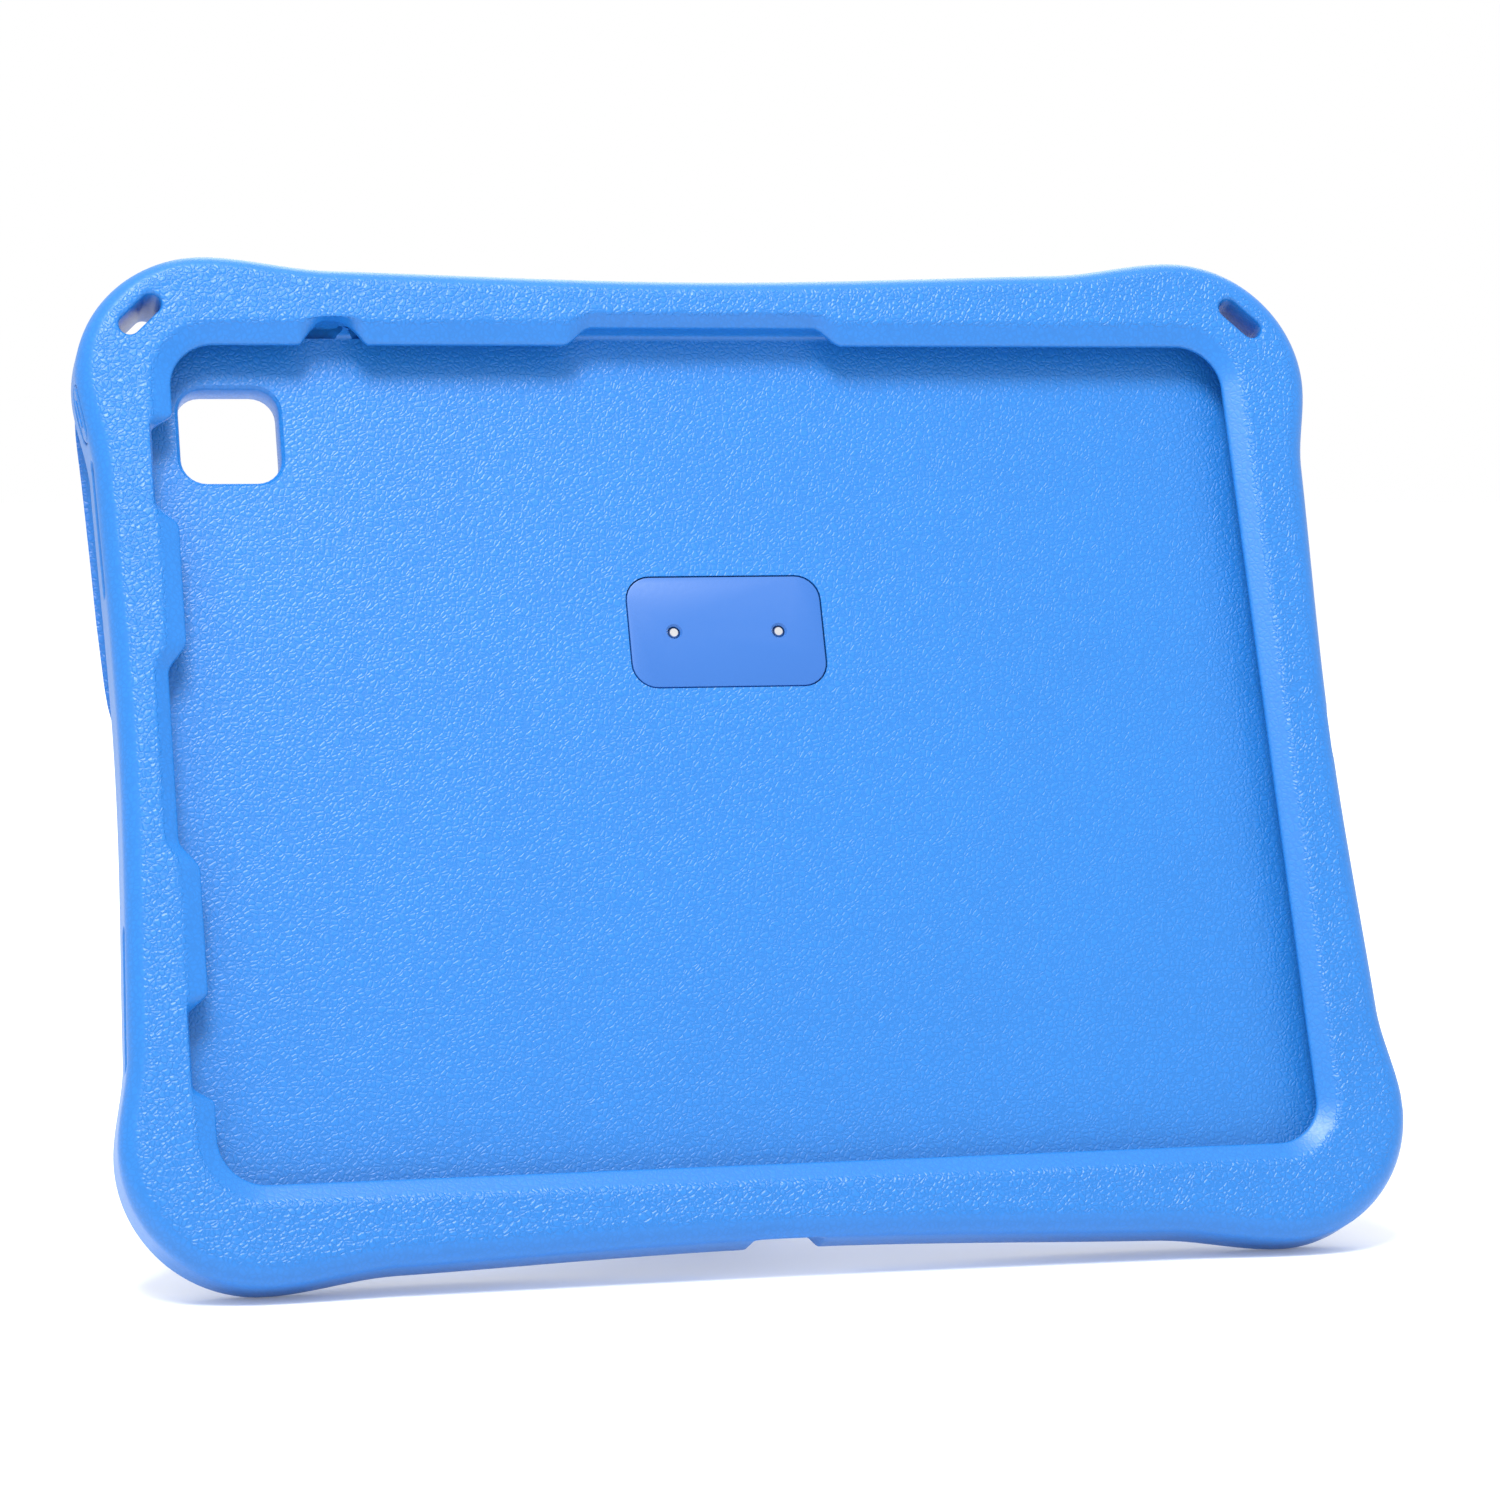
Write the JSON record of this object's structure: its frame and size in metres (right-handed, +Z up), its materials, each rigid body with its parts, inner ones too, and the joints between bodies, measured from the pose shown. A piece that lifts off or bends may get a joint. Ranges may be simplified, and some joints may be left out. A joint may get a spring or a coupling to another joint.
{
  "type": "tablet case",
  "caption": "Shock-absorbing foam tablet case with bulging corners, a bevelled lip, strap slots and a raised butterfly back whose abdomen swings out as a stand leg.",
  "frame": {"origin": "on the surface the case stands on, below the middle of its box, with the case leaning back on its open leg", "axes": "+X to the viewer's right, +Z up, the tablet's screen side faces -Y and leans back towards +Y at the top"},
  "size_m": [0.3077, 0.1093, 0.2358],
  "materials": {
    "shell_foam": "fine leather-grained moulded EVA foam, smooth on the lip and the outer edge",
    "wing_foam": "smooth moulded EVA foam with raised veins",
    "antenna_foam": "smooth moulded EVA foam",
    "abdomen_foam": "smooth moulded EVA foam in rolled segments",
    "bracket_plastic": "fine spark-eroded moulded plastic",
    "spine_plastic": "moulded plastic",
    "clamp_plastic": "moulded plastic",
    "eye_plastic": "polished moulded plastic",
    "steel": "zinc plated",
    "washer_brass": "stamped",
    "foot_rubber": "matt rubber with moulded ribs",
    "pad_foam": "smooth moulded foam"
  },
  "bodies": {
    "case": {"foam_shell": "shell_foam", "left_wing": "wing_foam", "right_wing": "wing_foam", "left_antenna": "antenna_foam", "right_antenna": "antenna_foam", "hinge_bracket": "bracket_plastic", "clamp_plate": "clamp_plastic", "bracket_screws": "steel", "left_eye_cap": "eye_plastic", "right_eye_cap": "eye_plastic", "hinge_pin": "steel", "friction_washers": "washer_brass"},
    "leg": {"leg_spine": "spine_plastic", "leg_cover": "abdomen_foam", "leg_foot": "foot_rubber"},
    "power_pad": {"power_pad": "pad_foam"},
    "volume_up_pad": {"volume_up_pad": "pad_foam"},
    "volume_down_pad": {"volume_down_pad": "pad_foam"}
  },
  "joints": [
    {"name": "leg_fold", "type": "hinge", "parent": "case", "child": "leg", "pos_m": [0, 0.01504, 0.12709], "axis": [1, 0, 0], "range_deg": [-38.36, 0]},
    {"name": "power_press", "type": "slide", "parent": "case", "child": "power_pad", "axis": [1, 0, 0], "range_m": [0, 0.001], "stiffness_N_per_m": 1500},
    {"name": "volume_up_press", "type": "slide", "parent": "case", "child": "volume_up_pad", "axis": [0, -0.3811, -0.9245], "range_m": [0, 0.001], "stiffness_N_per_m": 1500},
    {"name": "volume_down_press", "type": "slide", "parent": "case", "child": "volume_down_pad", "axis": [0, -0.3811, -0.9245], "range_m": [0, 0.001], "stiffness_N_per_m": 1500}
  ]
}
